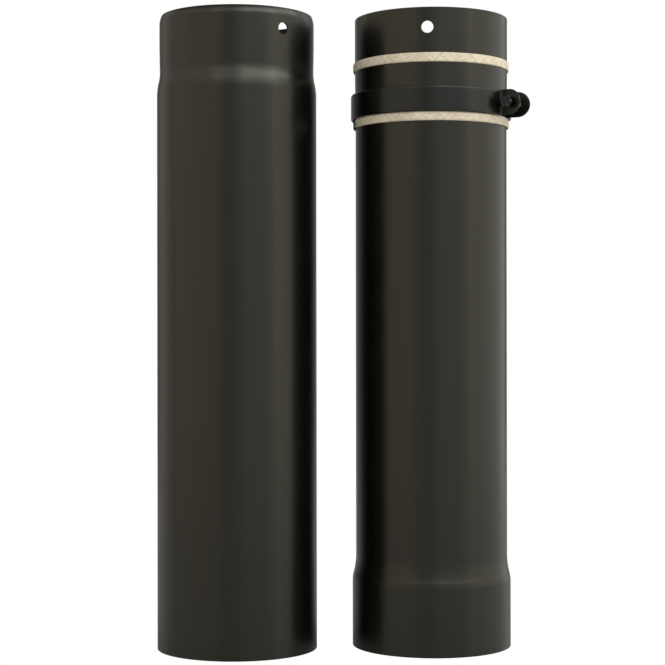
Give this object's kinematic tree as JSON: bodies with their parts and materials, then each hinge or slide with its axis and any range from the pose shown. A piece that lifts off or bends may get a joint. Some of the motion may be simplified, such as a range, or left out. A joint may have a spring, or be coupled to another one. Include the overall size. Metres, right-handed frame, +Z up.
{
  "type": "adjustable flue pipe",
  "caption": "Black steel telescoping flue pipe drawn apart: a sleeve with a swaged spigot beside a socketed inner section with rope seals and a bolted strap clamp.",
  "frame": {"origin": "centre of the inner section's socket mouth, on the surface that both sections stand on", "axes": "+Z up along the flue; -Y towards the viewer; the outer section stands on the -X side"},
  "size_m": [0.3595, 0.1697, 0.609],
  "materials": {
    "stove_paint": "matt black heat-resistant paint with a fine grain",
    "strap_paint": "satin black heat-resistant paint",
    "glass_rope": "cream braided glass-fibre tape",
    "blackened_steel": "blackened steel, slightly oily"
  },
  "bodies": {
    "flue_sections": {"inner_section": "stove_paint", "outer_section": "stove_paint", "upper_rope_seal": "glass_rope", "lower_rope_seal": "glass_rope"},
    "clamp": {"clamp_band": "strap_paint"},
    "bolt": {"clamp_bolt": "blackened_steel"},
    "nut": {"clamp_nut": "blackened_steel"}
  },
  "joints": [
    {"name": "clamp_slide", "type": "slide", "parent": "flue_sections", "child": "clamp", "axis": [0, 0, 1], "range_m": [-0.43, 0.022]},
    {"name": "bolt_turn", "type": "hinge", "parent": "clamp", "child": "bolt", "pos_m": [0.0766, -0.03903, 0.52315], "axis": [-0.454, -0.891, 0], "range_deg": [0, 1080]},
    {"name": "nut_travel", "type": "slide", "parent": "clamp", "child": "nut", "axis": [0.454, 0.891, 0], "range_m": [0, 0.0031]}
  ],
  "couplings": [
    {"joint": "nut_travel", "follows": "bolt_turn", "m_per_rad": 0.00015915}
  ]
}
